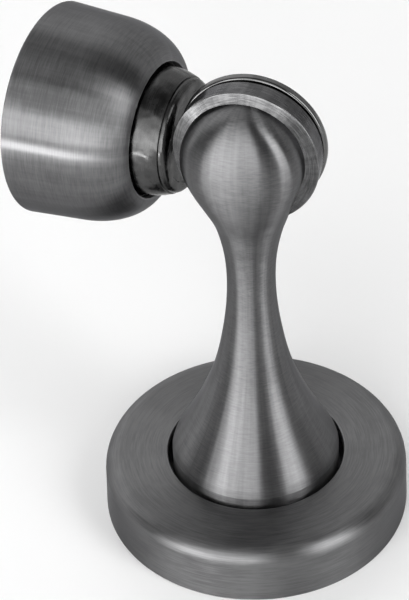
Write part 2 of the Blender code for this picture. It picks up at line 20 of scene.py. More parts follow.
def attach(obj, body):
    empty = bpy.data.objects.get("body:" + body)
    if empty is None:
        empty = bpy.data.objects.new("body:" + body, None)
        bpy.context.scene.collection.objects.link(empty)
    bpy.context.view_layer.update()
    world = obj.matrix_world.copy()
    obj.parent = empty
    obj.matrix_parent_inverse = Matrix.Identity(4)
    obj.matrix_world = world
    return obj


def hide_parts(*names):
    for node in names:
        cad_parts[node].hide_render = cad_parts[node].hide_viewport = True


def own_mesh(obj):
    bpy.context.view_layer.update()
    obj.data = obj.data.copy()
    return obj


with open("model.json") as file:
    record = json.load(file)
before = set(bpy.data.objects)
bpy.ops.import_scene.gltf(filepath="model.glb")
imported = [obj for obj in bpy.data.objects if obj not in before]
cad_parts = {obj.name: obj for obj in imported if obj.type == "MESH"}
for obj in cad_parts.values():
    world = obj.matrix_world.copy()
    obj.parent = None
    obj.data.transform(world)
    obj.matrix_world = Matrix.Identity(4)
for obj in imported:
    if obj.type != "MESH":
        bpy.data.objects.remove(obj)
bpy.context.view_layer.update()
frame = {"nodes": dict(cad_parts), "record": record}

MM = 0.001

# A point of an outline that is nearer than this to the axis is on it
ON_AXIS = 0.001

# Clearance between neighbouring pieces
GAP = 0.3

# How finely pieces are turned, and into how many stretches a rounded corner is divided
SMOOTH_STEPS = 192
LARGE_STEPS = 256
SMALL_STEPS = 64
CORNER_STRETCHES, CORNER_STRETCHES_PER_MM = 5, 4

# Support points this far from the ends of a flat, edges sharper than this angle left unsmoothed,
# and the bend, in radians per millimetre, at which an edge gets its full wear and painted highlight
SUPPORT = 0.12
SHARP_ANGLE = 32.0
WEAR_AND_HIGHLIGHT_BEND = 2.0

# Rosette, with the steel plate that it hides
COVER_FOOT_R, COVER_TOP_R, COVER_HEIGHT = 25.0, 24.65, 9.7
COVER_EDGE_R, COVER_WALL, COVER_HOLE_R = 2.5, 1.2, 14.45
PLATE_R, PLATE_THICK = 21.8, 3.0
PLATE_BOSS_R, PLATE_BOSS_TOP, PLATE_HOLE_R, PLATE_HOLE_FLOOR = 12.0, 4.2, 3.3, 1.0
FLOOR_SCREW_CIRCLE_R, FLOOR_SCREW_COUNT = 17.4, 3
SCREW_HOLE_R, SCREW_SINK_R = 2.3, 3.9
GRIP_RING_R, GRIP_RING_WIRE_R, GRIP_RING_HEIGHT = 22.15, 0.8, 1.6

# Post: heights and radii of the trumpet, from the foot's rim to below the ball
FOOT_BOTTOM, FOOT_TOP, FOOT_R = 4.5, 11.0, 13.6
TRUMPET = [
    (FOOT_TOP, FOOT_R),
    (12.5, 13.1),
    (16.0, 11.2),
    (21.0, 8.75),
    (28.0, 6.15),
    (36.0, 4.5),
    (43.0, 3.8),
    (49.0, 3.95),
    (54.0, 4.85),
    (58.5, 6.3),
]
BALL_R, BALL_HEIGHT, BALL_OFFSET = 9.18, 68.3, 2.85
BALL_START = -4.0
# Share by which the ball's front is pressed flat, and how much of it next to the axis isn't
BALL_FLATTENED, BALL_KEPT = 0.4, 2.5
LEAN_START, LEAN_END = 55.3, 65.3
STUD_SOCKET_R, STUD_SOCKET_TOP = 3.3, 17.3
FOOT_RECESS_R, FOOT_RECESS_TOP = 6.2, 5.7
FOOT_SCREW_HEIGHT, FOOT_SCREW_START, FOOT_SCREW_END = 7.6, 3.5, 13.0
FOOT_HOLE_START, FOOT_HOLE_END = 1.0, 15.0

# Grub screws
GRUB_R, GRUB_POINT, GRUB_SOCKET_R, GRUB_SOCKET_DEPTH, GRUB_SUNK = 1.5, 0.6, 0.85, 1.6, 0.3

# Head, along its own axis; its heading is in degrees from +Y towards +X
HEAD_HEIGHT, HEAD_HEADING = 67.9, 16.7
FLANGE_FRONT, FLANGE_BACK = -1.45, 2.0
FLANGE_SLOPE, FLANGE_CONE_R = 0.33, 8.0
FLANGE_R, FLANGE_BACK_R = 11.1, 10.9
RECESS_R, RECESS_FLOOR = 9.9, 1.2
POCKET_R, POCKET_FLOOR = 7.6, -3.0
CUP_RIM_R, CUP_RIM_FRONT, CUP_FACE = 11.15, 2.6, 4.1
CUP_BODY_R, CUP_WALL = 7.3, 1.0
MAGNET_R, MAGNET_FACE, MAGNET_SINK_R, MAGNET_SINK_DEPTH = 6.0, 3.5, 3.3, 1.5
MAGNET_SCREW_HEAD_R, MAGNET_SCREW_SHANK_R, MAGNET_SCREW_TIP = 2.8, 1.4, -8.6
MAGNET_SCREW_SOCKET_R, MAGNET_SCREW_SOCKET_FLOOR = 1.1, 2.1
WASHER_INNER_R = 7.9

# Door part, along the door axis
BELL_MOUTH_R, BELL_LIP_R, BELL_LIP_WIDTH, BELL_LENGTH = 10.55, 10.35, 0.43, 18.25
BELL_SHOULDER, BELL_SHOULDER_LENGTH, BELL_TAPER = 4.9, 9.0, 0.07
BELL_BORE_R, BELL_BORE_END, BELL_BACK_BORE_R, BELL_BACK_BORE_START = 12.15, 7.5, 13.7, 9.0
BELL_SCREW_AT, BELL_HOLE_START, BELL_HOLE_END = 16.1, 12.0, 20.0
STOP_RING_INNER_R, STOP_RING_R, STOP_RING_FRONT, STOP_RING_BACK = 10.3, 11.3, 1.2, 2.3
NOSE_CENTRE, NOSE_R, NOSE_FACE, NOSE_BACK = 0.3, 9.95, 4.97, 5.8
NOSE_GROOVE_AT, NOSE_GROOVE_DEPTH, NOSE_FACE_SUNK = 3.95, 0.42, 0.3
NOSE_RING_BEND, NOSE_RING_INSET, NOSE_RING_FLAT = 1.0, 0.15, 0.65
NOSE_THREAD_R, NOSE_THREAD_FRONT, NOSE_THREAD_BACK = 2.3, 0.7, 7.0
DOOR_PLATE_R, DOOR_PLATE_FRONT = 13.4, 15.4
DOOR_SCREW_SPACING = 16.0
SPRING_R, SPRING_WIRE_R, SPRING_TURNS = 10.2, 0.5, 2.25
SPRING_FRONT, SPRING_BACK = 10.2, 15.1


# ---------------------------------------------------------------- axes


def axis_frame(origin, direction):
    """Frame at origin, in metres, whose Z runs along direction and whose Y points up."""
    turn = Vector(direction).to_track_quat("Z", "Y").to_matrix().to_4x4()
    return Matrix.Translation(origin) @ turn


def mount_named(name):
    return next(m for m in frame["record"]["mounts"] if m["name"] == name)


def head_heading():
    turn = math.radians(HEAD_HEADING)
    return Vector((math.sin(turn), math.cos(turn), 0.0))


def door_frame():
    """The door axis, from the mount on the door: its Z is the mount's axis, and 0 is the lip."""
    mount = mount_named("door_face")
    back = Vector(mount["axis"]).normalized()
    return axis_frame(Vector(mount["pos_m"]) - back * BELL_LENGTH * MM, back)


POST_AXIS = Matrix.Identity(4)
HEAD_AXIS = axis_frame((0.0, 0.0, HEAD_HEIGHT * MM), head_heading())
DOOR_AXIS = door_frame()


# ---------------------------------------------------------------- outlines


def arc(radius, height, bend, start, end, count):
    """Points of a bend about (radius, height), from start to end in degrees from outwards."""
    angles = [math.radians(start + (end - start) * i / count) for i in range(count + 1)]
    return [(radius + bend * math.cos(a), height + bend * math.sin(a)) for a in angles]


def rounded(before, corner, after, bend):
    """The arc of radius bend that replaces a corner of an outline."""
    at = Vector(corner)
    one, two = (Vector(before) - at).normalized(), (Vector(after) - at).normalized()
    half = one.angle(two) / 2
    start, end = at + one * bend / math.tan(half), at + two * bend / math.tan(half)
    middle = at + (one + two).normalized() * bend / math.sin(half)
    first, last = start - middle, end - middle
    count = CORNER_STRETCHES + int(bend * CORNER_STRETCHES_PER_MM)
    spokes = [first.lerp(last, i / count) for i in range(count + 1)]
    return [tuple(middle + spoke.normalized() * bend) for spoke in spokes]


def softened(corners):
    """An outline from corners, of which those with a third number are rounded to that radius."""
    outline = []
    for i, corner in enumerate(corners):
        if len(corner) == 2:
            outline.append(corner)
            continue
        before, after = corners[i - 1][:2], corners[(i + 1) % len(corners)][:2]
        outline += rounded(before, corner[:2], after, corner[2])
    return outline


def smooth_curve(points, pieces):
    """A curve through (height, radius) points, with each stretch in so many pieces.

    It comes back as an outline, of (radius, height) points.
    """
    slopes = []
    for i in range(len(points)):
        before, after = points[max(i - 1, 0)], points[min(i + 1, len(points) - 1)]
        slopes.append((after[1] - before[1]) / (after[0] - before[0]))
    outline = []
    for i in range(len(points) - 1):
        (z0, r0), (z1, r1) = points[i], points[i + 1]
        span = z1 - z0
        for k in range(pieces):
            t = k / pieces
            radius = (1 + 2 * t) * (1 - t) ** 2 * r0 + t * t * (3 - 2 * t) * r1
            radius += span * (t * (1 - t) ** 2 * slopes[i] - t * t * (1 - t) * slopes[i + 1])
            outline.append((radius, z0 + t * span))
    outline.append((points[-1][1], points[-1][0]))
    return outline


def cover_outline():
    """Rosette: rounded outer edge, slightly flared wall, thin shell and a crisp hole."""
    inner_r = COVER_TOP_R - COVER_WALL
    return softened(
        [
            (COVER_HOLE_R, COVER_HEIGHT, 0.2),
            (COVER_TOP_R, COVER_HEIGHT, COVER_EDGE_R),
            (COVER_FOOT_R, 0.0, 0.3),
            (COVER_FOOT_R - COVER_WALL - 0.1, 0.0),
            (inner_r, COVER_HEIGHT - COVER_WALL, COVER_EDGE_R - COVER_WALL),
            (COVER_HOLE_R, COVER_HEIGHT - COVER_WALL),
        ]
    )


def plate_outline():
    """Floor plate: boss with a blind hole for the stud, groove for the grip ring in its edge."""
    groove = arc(GRIP_RING_R, GRIP_RING_HEIGHT, GRIP_RING_WIRE_R + 0.35, 120.0, 240.0, 8)
    return softened(
        [
            (0.0, PLATE_HOLE_FLOOR),
            (PLATE_HOLE_R, PLATE_HOLE_FLOOR),
            (PLATE_HOLE_R, PLATE_BOSS_TOP, 0.2),
            (PLATE_BOSS_R, PLATE_BOSS_TOP, 0.3),
            (PLATE_BOSS_R, PLATE_THICK),
            (PLATE_R, PLATE_THICK, 0.08),
            *groove,
            (PLATE_R, 0.0, 0.1),
            (0.0, 0.0),
        ]
    )


def grip_ring_outline():
    return arc(GRIP_RING_R, GRIP_RING_HEIGHT, GRIP_RING_WIRE_R, 90.0, -270.0, 20)[:-1]


def post_outline():
    """Foot, trumpet, neck and ball, all upright about the post's axis."""
    ball_start_r = math.sqrt(BALL_R**2 - BALL_START**2)
    trumpet = smooth_curve([*TRUMPET, (BALL_HEIGHT + BALL_START, ball_start_r)], 8)
    start = math.degrees(math.atan2(BALL_START, ball_start_r))
    ball = arc(0.0, BALL_HEIGHT, BALL_R, start, 90.0, 44)[1:-1]
    foot = softened([(0.0, FOOT_BOTTOM), (FOOT_R, FOOT_BOTTOM, 0.4), (FOOT_R, FOOT_TOP)])
    return [*foot[:-1], *trumpet, *ball, (0.0, BALL_HEIGHT + BALL_R)]


def stud_socket_outline():
    """What is cut from the foot: the stud's bore and the lock washer's recess."""
    return [
        (0.0, STUD_SOCKET_TOP),
        (STUD_SOCKET_R, STUD_SOCKET_TOP),
        (STUD_SOCKET_R, FOOT_RECESS_TOP),
        (FOOT_RECESS_R, FOOT_RECESS_TOP),
        (FOOT_RECESS_R, FOOT_BOTTOM - 2.0),
        (0.0, FOOT_BOTTOM - 2.0),
    ]


def flange_outline():
    """Disc that stands out round the ball, with a conical front and broken outer corners."""
    cone_front = FLANGE_FRONT - (FLANGE_R - FLANGE_CONE_R) * FLANGE_SLOPE
    return softened(
        [
            (0.0, FLANGE_BACK),
            (FLANGE_BACK_R, FLANGE_BACK, 0.15),
            (FLANGE_R, FLANGE_FRONT, 0.2),
            (FLANGE_CONE_R, cone_front),
            (0.0, cone_front),
        ]
    )


def head_pocket_outline():
    """What is cut from the head's back: room for the cup's rim, washer recess and pocket."""
    room_r, room_back = CUP_RIM_R + GAP, FLANGE_BACK + 6.0
    return [
        (0.0, room_back),
        (room_r, room_back),
        (room_r, FLANGE_BACK),
        (RECESS_R, FLANGE_BACK),
        (RECESS_R, RECESS_FLOOR),
        (POCKET_R, RECESS_FLOOR),
        (POCKET_R, POCKET_FLOOR),
        (0.0, POCKET_FLOOR),
    ]


def cup_outline():
    """Magnet cup: a round polished rim, and a thimble behind it that holds the magnet."""
    inner_r = CUP_BODY_R - CUP_WALL
    floor = POCKET_FLOOR + GAP
    screw_r = MAGNET_SCREW_SHANK_R + GAP
    return softened(
        [
            (inner_r, CUP_FACE, 0.15),
            (CUP_RIM_R, CUP_FACE, 0.45),
            (CUP_RIM_R, CUP_RIM_FRONT, 0.45),
            (CUP_BODY_R, CUP_RIM_FRONT),
            (CUP_BODY_R, floor, 0.4),
            (screw_r, floor),
            (screw_r, floor + CUP_WALL),
            (inner_r, floor + CUP_WALL),
        ]
    )


def magnet_outline():
    """Ring magnet with a countersunk hole."""
    low = POCKET_FLOOR + CUP_WALL + 2 * GAP
    hole_r = MAGNET_SCREW_SHANK_R + 0.4
    return softened(
        [
            (MAGNET_SINK_R, MAGNET_FACE),
            (MAGNET_R, MAGNET_FACE, 0.3),
            (MAGNET_R, low, 0.3),
            (hole_r, low),
            (hole_r, MAGNET_FACE - MAGNET_SINK_DEPTH),
        ]
    )


def magnet_screw_outline():
    """Countersunk screw, with its head just under the magnet's face."""
    head, tip = MAGNET_FACE - GAP, MAGNET_SCREW_TIP
    return softened(
        [
            (0.0, head),
            (MAGNET_SCREW_HEAD_R, head, 0.1),
            (MAGNET_SCREW_SHANK_R, head - MAGNET_SCREW_HEAD_R + MAGNET_SCREW_SHANK_R),
            (MAGNET_SCREW_SHANK_R, tip + 0.6),
            (MAGNET_SCREW_SHANK_R - 0.5, tip),
            (0.0, tip),
        ]
    )


def washer_outline():
    """Black rubber washer between flange and cup."""
    outer_r, high, low = RECESS_R - GAP, CUP_RIM_FRONT - GAP, RECESS_FLOOR + GAP
    return softened(
        [
            (WASHER_INNER_R, high),
            (outer_r, high, 0.15),
            (outer_r, low, 0.15),
            (WASHER_INNER_R, low),
        ]
    )


def nose_outline():
    """Polished nose: ball, groove and rounded front ring, with a slightly sunk face."""
    groove_out = NOSE_GROOVE_AT + NOSE_CENTRE
    groove_r = math.sqrt(NOSE_R**2 - groove_out**2)
    ring_middle_r = groove_r - NOSE_RING_BEND - NOSE_RING_INSET
    flat_r = ring_middle_r - NOSE_RING_FLAT
    ring = arc(ring_middle_r, NOSE_FACE - NOSE_RING_BEND, NOSE_RING_BEND, 90.0, -35.0, 12)
    start = math.degrees(math.asin(groove_out / NOSE_R))
    end = -math.degrees(math.asin((NOSE_BACK - NOSE_CENTRE) / NOSE_R))
    ball = arc(0.0, -NOSE_CENTRE, NOSE_R, start - 1.0, end, 40)
    rising = softened(
        [
            (0.0, NOSE_FACE - NOSE_FACE_SUNK),
            (flat_r - NOSE_FACE_SUNK, NOSE_FACE - NOSE_FACE_SUNK),
            (flat_r, NOSE_FACE, 0.1),
            *ring,
            (groove_r - NOSE_GROOVE_DEPTH, NOSE_GROOVE_AT - 0.1),
            *ball,
            (0.0, -NOSE_BACK),
        ]
    )
    return [(radius, -height) for radius, height in rising]


def stop_ring_outline():
    """Black rubber ring just inside the bell's mouth; its black, seen through the narrow gap round
    the nose, also stands in for the shade in that gap.
    """
    return softened(
        [
            (STOP_RING_INNER_R, STOP_RING_BACK, 0.15),
            (STOP_RING_R, STOP_RING_BACK),
            (STOP_RING_R, STOP_RING_FRONT),
            (STOP_RING_INNER_R, STOP_RING_FRONT, 0.15),
        ]
    )


def bell_radius(depth):
    """Outer radius of the bell at a depth from the lip: a round shoulder on a slight taper."""
    lack = max(1.0 - depth / BELL_SHOULDER_LENGTH, 0.0)
    return BELL_LIP_R + BELL_TAPER * depth + BELL_SHOULDER * math.sqrt(1.0 - lack * lack)


def bell_outline():
    """Bell: round shoulder and tapered skirt outside, two bores and the stop ring's seat inside.

    The shoulder starts a little way round, where it is already outside the flat lip.
    """
    quarter = [math.pi / 2 * i / 30 for i in range(2, 31)]
    depths = [BELL_SHOULDER_LENGTH * (1.0 - math.cos(a)) for a in quarter]
    shoulder = [(bell_radius(depth), depth) for depth in depths]
    skirt = [(bell_radius(depth), depth) for depth in (11.0, 13.0, 15.0, 17.0)]
    seat_r, seat_front = STOP_RING_R + GAP, STOP_RING_FRONT - GAP
    return softened(
        [
            (BELL_MOUTH_R, 0.0, 0.1),
            (BELL_LIP_R + BELL_LIP_WIDTH, 0.0),
            *shoulder,
            *skirt,
            (bell_radius(BELL_LENGTH), BELL_LENGTH, 0.25),
            (BELL_BACK_BORE_R, BELL_LENGTH, 0.2),
            (BELL_BACK_BORE_R, BELL_BACK_BORE_START),
            (BELL_BORE_R, BELL_BORE_END),
            (BELL_BORE_R, STOP_RING_BACK),
            (seat_r, STOP_RING_BACK),
            (seat_r, seat_front),
            (BELL_MOUTH_R, seat_front),
        ]
    )


def door_plate_outline():
    return softened(
        [
            (0.0, BELL_LENGTH),
            (DOOR_PLATE_R, BELL_LENGTH, 0.25),
            (DOOR_PLATE_R, DOOR_PLATE_FRONT, 0.3),
            (0.0, DOOR_PLATE_FRONT),
        ]
    )


def countersink_outline(face, back):
    """A countersunk screw hole that opens at face and runs through to back, with some to spare."""
    side = 1.0 if face > back else -1.0
    depth = SCREW_SINK_R - SCREW_HOLE_R
    return [
        (0.0, face + side),
        (SCREW_SINK_R, face + side),
        (SCREW_SINK_R, face),
        (SCREW_HOLE_R, face - side * depth),
        (SCREW_HOLE_R, back - side),
        (0.0, back - side),
    ]


def grub_screw_outline(low, high):
    return softened(
        [
            (0.0, high),
            (GRUB_R, high, 0.2),
            (GRUB_R, low + GRUB_POINT),
            (GRUB_R - GRUB_POINT, low),
            (0.0, low),
        ]
    )


# ---------------------------------------------------------------- meshes


def supported(outline, closed):
    """The outline with two more points in each long stretch, so that flats are shaded flat."""
    made = []
    ends = outline[1:] + (outline[:1] if closed else [])
    for here, there in zip(outline, ends):
        made.append(here)
        span = math.dist(here, there)
        if span > 4 * SUPPORT:
            for share in (SUPPORT / span, 1.0 - SUPPORT / span):
                made.append(tuple(Vector(here).lerp(Vector(there), share)))
    return made if closed else made + outline[-1:]


def sharpness(outline, closed):
    """For each point, how much the outline bends outwards there, from 0 to 1."""
    count = len(outline)
    corners = [Vector(point) for point in outline]
    area = sum(a.x * b.y - b.x * a.y for a, b in zip(corners, corners[1:] + corners[:1]))
    bends = []
    for i, corner in enumerate(corners):
        if not closed and i in (0, count - 1):
            bends.append(0.0)
            continue
        before, after = corner - corners[i - 1], corners[(i + 1) % count] - corner
        turn = math.atan2(before.x * after.y - before.y * after.x, before.dot(after))
        reach = min(before.length, after.length) + max(before.length, after.length) / 4
        bends.append(min(max(math.copysign(turn, turn * area) / reach / WEAR_AND_HIGHLIGHT_BEND, 0.0), 1.0))
    return bends


def turned(name, outline, axis=POST_AXIS, steps=SMOOTH_STEPS):
    """Turns an outline about the Z of axis.

    It closes on itself unless both ends are on the axis.
    """
    closed = outline[0][0] > ON_AXIS or outline[-1][0] > ON_AXIS
    outline = supported(outline, closed)
    shape = bmesh.new()
    # Each point's outward bend, kept for the edges' lighter colour, which is partly wear and partly
    # a painted highlight
    wear_and_highlight = shape.verts.layers.float.new("wear_and_highlight")
    angles = [2 * math.pi * i / steps for i in range(steps)]
    rings = []
    for (radius, height), bend in zip(outline, sharpness(outline, closed)):
        ring = []
        for angle in angles if radius > ON_AXIS else [0.0]:
            point = Vector((radius * math.cos(angle), radius * math.sin(angle), height))
            ring.append(shape.verts.new(point * MM))
            ring[-1][wear_and_highlight] = bend
        rings.append(ring)
    for upper, lower in zip(rings, rings[1:] + (rings[:1] if closed else [])):
        for i in range(steps):
            here = [upper[i % len(upper)], lower[i % len(lower)]]
            there = [lower[(i + 1) % len(lower)], upper[(i + 1) % len(upper)]]
            shape.faces.new(list(dict.fromkeys(here + there)))
    bmesh.ops.recalc_face_normals(shape, faces=shape.faces)
    return object_of(name, shape, axis)


def rod(name, radius, low, high, axis, sides=SMALL_STEPS):
    """A straight cylinder, or with few sides a prism, along the Z of axis."""
    shape = bmesh.new()
    bmesh.ops.create_cone(
        shape,
        cap_ends=True,
        segments=sides,
        radius1=radius * MM,
        radius2=radius * MM,
        depth=(high - low) * MM,
    )
    bmesh.ops.translate(shape, vec=(0.0, 0.0, (low + high) / 2 * MM), verts=shape.verts)
    return object_of(name, shape, axis)


def object_of(name, shape, axis):
    mesh = bpy.data.meshes.new(name)
    shape.to_mesh(mesh)
    shape.free()
    obj = bpy.data.objects.new(name, mesh)
    obj.matrix_world = axis
    bpy.context.scene.collection.objects.link(obj)
    return obj


def cut(obj, cutter):
    """Cuts cutter from obj, and removes it."""
    step = obj.modifiers.new("cut", "BOOLEAN")
    step.operation = "DIFFERENCE"
    step.solver = "EXACT"
    step.object = cutter
    graph = bpy.context.evaluated_depsgraph_get()
    mesh = bpy.data.meshes.new_from_object(obj.evaluated_get(graph))
    obj.modifiers.clear()
    obj.data = mesh
    bpy.data.objects.remove(cutter)


def leant_over(obj):
    """Moves the ball off the post's axis, away from the magnet, and flattens its front.

    Both set in smoothly along the neck.
    """
    heading = head_heading()
    for vertex in obj.data.vertices:
        rise = (vertex.co.z / MM - LEAN_START) / (LEAN_END - LEAN_START)
        rise = min(max(rise, 0.0), 1.0)
        share = rise * rise * (3 - 2 * rise)
        ahead = max(-vertex.co.dot(heading), 0.0)
        pressed = ahead - BALL_KEPT * MM * math.tanh(ahead / (BALL_KEPT * MM))
        shift = pressed * BALL_FLATTENED - BALL_OFFSET * MM
        vertex.co += heading * shift * share
    return obj


def piece(obj, node, body, slot, finish=None):
    """Finishes a piece: its material, smooth faces with crisp edges, its body and its CAD node.

    The material is the slot's own, unless another finish is named.
    """
    obj.data.materials.clear()
    obj.data.materials.append(MATERIALS[finish or slot])
    obj.data.shade_smooth()
    obj.data.set_sharp_from_angle(angle=math.radians(SHARP_ANGLE))
    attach(obj, body)
    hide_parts(node)


# ---------------------------------------------------------------- material nodes

# Sockets of the Mix node: what it mixes for values and for colours, and its colour output
FACTOR, VALUE_A, VALUE_B, COLOUR_A, COLOUR_B = 0, 2, 3, 6, 7
COLOUR = 2

# Brushing: distance between its coarser lines, and what rubbing and a painted highlight add to an
# edge's colour
BRUSH_PITCH = 0.2
EDGE_WEAR_AND_HIGHLIGHT = (0.06, 0.06, 0.06)


def put(tree, kind, inputs=None, **settings):
    """A node with its settings, and its inputs set to numbers or linked to sockets."""
    made = tree.nodes.new(kind)
    for name, value in settings.items():
        setattr(made, name, value)
    for name, value in (inputs or {}).items():
        if isinstance(value, bpy.types.NodeSocket):
            tree.links.new(value, made.inputs[name])
        else:
            made.inputs[name].default_value = value
    return made


def maths(tree, operation, *values):
    return put(tree, "ShaderNodeMath", dict(enumerate(values)), operation=operation).outputs[0]


def mixed(tree, one, other, share):
    """A mixture of two values, with share of the other."""
    part_of_one = maths(tree, "MULTIPLY", one, 1.0 - share)
    return maths(tree, "ADD", part_of_one, maths(tree, "MULTIPLY", other, share))


def spread(tree, value, low, high, to_low, to_high):
    """Maps a socket's value from low..high to to_low..to_high, held at both ends."""
    inputs = {
        "Value": value,
        "From Min": low,
        "From Max": high,
        "To Min": to_low,
        "To Max": to_high,
    }
    return put(tree, "ShaderNodeMapRange", inputs, interpolation_type="SMOOTHSTEP").outputs[0]


def millimetres(tree):
    """The piece's own coordinates, in millimetres."""
    place = put(tree, "ShaderNodeTexCoord").outputs["Object"]
    inputs = {0: place, "Scale": 1 / MM}
    return put(tree, "ShaderNodeVectorMath", inputs, operation="SCALE").outputs[0]


def cloud(tree, place, size, detail=3.0):
    """Soft blotches about size millimetres across, from 0 to 1."""
    inputs = {"Vector": place, "Scale": 1 / size, "Detail": detail, "Roughness": 0.55}
    return put(tree, "ShaderNodeTexNoise", inputs).outputs["Fac"]


def round_axis(tree, place):
    """Radius, cosine and sine of the angle round the piece's Z axis, and height along it."""
    x, y, height = put(tree, "ShaderNodeSeparateXYZ", {0: place}).outputs
    squares = maths(tree, "ADD", maths(tree, "POWER", x, 2.0), maths(tree, "POWER", y, 2.0))
    radius = maths(tree, "SQRT", maths(tree, "MAXIMUM", squares, 0.0001))
    return radius, maths(tree, "DIVIDE", x, radius), maths(tree, "DIVIDE", y, radius), height


def turning_lines(tree, place, pitch, turns, detail=2.0):
    """Fine lines left by turning: they run round the piece's Z axis, pitch millimetres apart.

    More turns make them shorter.
    """
    radius, cosine, sine, height = round_axis(tree, place)
    inputs = {
        "X": maths(tree, "DIVIDE", radius, pitch),
        "Y": maths(tree, "DIVIDE", height, pitch),
        "Z": maths(tree, "MULTIPLY", cosine, turns),
    }
    along = put(tree, "ShaderNodeCombineXYZ", inputs).outputs[0]
    across = maths(tree, "MULTIPLY", sine, turns)
    inputs = {"Vector": along, "W": across, "Scale": 1.0, "Detail": detail, "Roughness": 0.6}
    return put(tree, "ShaderNodeTexNoise", inputs, noise_dimensions="4D").outputs["Fac"]


def painted_reflection_streaks(tree, place, turns, length):
    """Painted reflection streaks along the piece's Z axis, length millimetres long, from 0 to 1.

    More turns make them narrower.
    """
    _, cosine, sine, height = round_axis(tree, place)
    inputs = {
        "X": maths(tree, "MULTIPLY", cosine, turns),
        "Y": maths(tree, "MULTIPLY", sine, turns),
        "Z": maths(tree, "DIVIDE", height, length),
    }
    along = put(tree, "ShaderNodeCombineXYZ", inputs).outputs[0]
    inputs = {"Vector": along, "Scale": 1.0, "Detail": 4.0, "Roughness": 0.7}
    return put(tree, "ShaderNodeTexNoise", inputs).outputs["Fac"]


def shade(tree, value, dark, light):
    """A colour from dark to light, as value goes from 0 to 1."""
    inputs = {FACTOR: value, COLOUR_A: (*dark, 1.0), COLOUR_B: (*light, 1.0)}
    return put(tree, "ShaderNodeMix", inputs, data_type="RGBA").outputs[COLOUR]


def bump(tree, height, depth, under=None):
    """Relief depth millimetres deep, over an earlier relief if there is one."""
    inputs = {"Height": height, "Distance": depth * MM, "Strength": 1.0}
    if under is not None:
        inputs["Normal"] = under
    return put(tree, "ShaderNodeBump", inputs).outputs[0]


def worn_and_highlit_edges(tree, place):
    """1 on edges that stand out, in patches, and 0 elsewhere; rubbing and a painted highlight
    brighten them.
    """
    edge = put(tree, "ShaderNodeAttribute", attribute_name="wear_and_highlight").outputs["Fac"]
    patches = spread(tree, cloud(tree, place, 3.0), 0.35, 0.6, 0.25, 1.0)
    return maths(tree, "MULTIPLY", edge, patches)


def new_material(name, **constants):
    """A material and its Principled shader, with constants on the shader's own sockets."""
    material = bpy.data.materials.new(name)
    material.use_nodes = True
    shader = material.node_tree.nodes["Principled BSDF"]
    for socket, value in constants.items():
        shader.inputs[socket.replace("_", " ")].default_value = value
    return material, material.node_tree, shader


def brushed_metal(name, dark, light, roughness, depth=0.003, anisotropy=0.97, reflection_streak_share=0.32):
    """Metal brushed round its turning axis: fine grooves, painted reflection streaks, and worn
    edges brightened with a painted highlight.

    The grooves are depth millimetres deep, and reflection_streak_share is the share of the painted
    reflection streaks.
    """
    material, tree, shader = new_material(
        name,
        Metallic=1.0,
        Anisotropic=anisotropy,
        Anisotropic_Rotation=0.25,
        Specular_Tint=(0.55, 0.55, 0.56, 1.0),
    )
    place = millimetres(tree)
    coarse = turning_lines(tree, place, BRUSH_PITCH, turns=5.0, detail=3.0)
    fine = turning_lines(tree, place, BRUSH_PITCH / 3, turns=9.0)
    stains = cloud(tree, place, 7.0)
    lines = mixed(tree, coarse, stains, 0.35)
    # Streaks along the axis mixed into the colour are painted reflections of the bright panels
    marks = mixed(tree, lines, painted_reflection_streaks(tree, place, turns=9.0, length=25.0), reflection_streak_share)
    base = shade(tree, spread(tree, marks, 0.35, 0.65, 0.0, 1.0), dark, light)
    # Edges that stand out get a lighter colour: partly wear, partly a painted highlight
    edge = shade(tree, worn_and_highlit_edges(tree, place), (0.0, 0.0, 0.0), EDGE_WEAR_AND_HIGHLIGHT)
    inputs = {FACTOR: 1.0, COLOUR_A: base, COLOUR_B: edge}
    bright = put(tree, "ShaderNodeMix", inputs, data_type="RGBA", blend_type="ADD")
    tree.links.new(bright.outputs[COLOUR], shader.inputs["Base Color"])
    rough = spread(tree, lines, 0.25, 0.75, roughness - 0.05, roughness + 0.06)
    tree.links.new(rough, shader.inputs["Roughness"])
    grooves = bump(tree, coarse, depth * 1.5)
    tree.links.new(bump(tree, fine, depth, under=grooves), shader.inputs["Normal"])
    tangent = put(tree, "ShaderNodeTangent", direction_type="RADIAL", axis="Z")
    tree.links.new(tangent.outputs[0], shader.inputs["Tangent"])
    return material


def polished_metal(name, dark, light, roughness, waviness):
    """Buffed metal: slightly wavy, with faint smears and hairline scratches round its axis."""
    material, tree, shader = new_material(name, Metallic=1.0, Specular_Tint=(0.7, 0.7, 0.7, 1.0))
    place = millimetres(tree)
    smears = cloud(tree, place, 2.2)
    hairlines = turning_lines(tree, place, pitch=0.12, turns=2.0)
    tree.links.new(shade(tree, smears, dark, light), shader.inputs["Base Color"])
    marks = mixed(tree, smears, hairlines, 0.4)
    rough = spread(tree, marks, 0.3, 0.7, roughness * 0.6, roughness * 1.5)
    tree.links.new(rough, shader.inputs["Roughness"])
    waves = bump(tree, cloud(tree, place, 3.0, detail=1.0), waviness)
    tree.links.new(bump(tree, hairlines, 0.0008, under=waves), shader.inputs["Normal"])
    return material


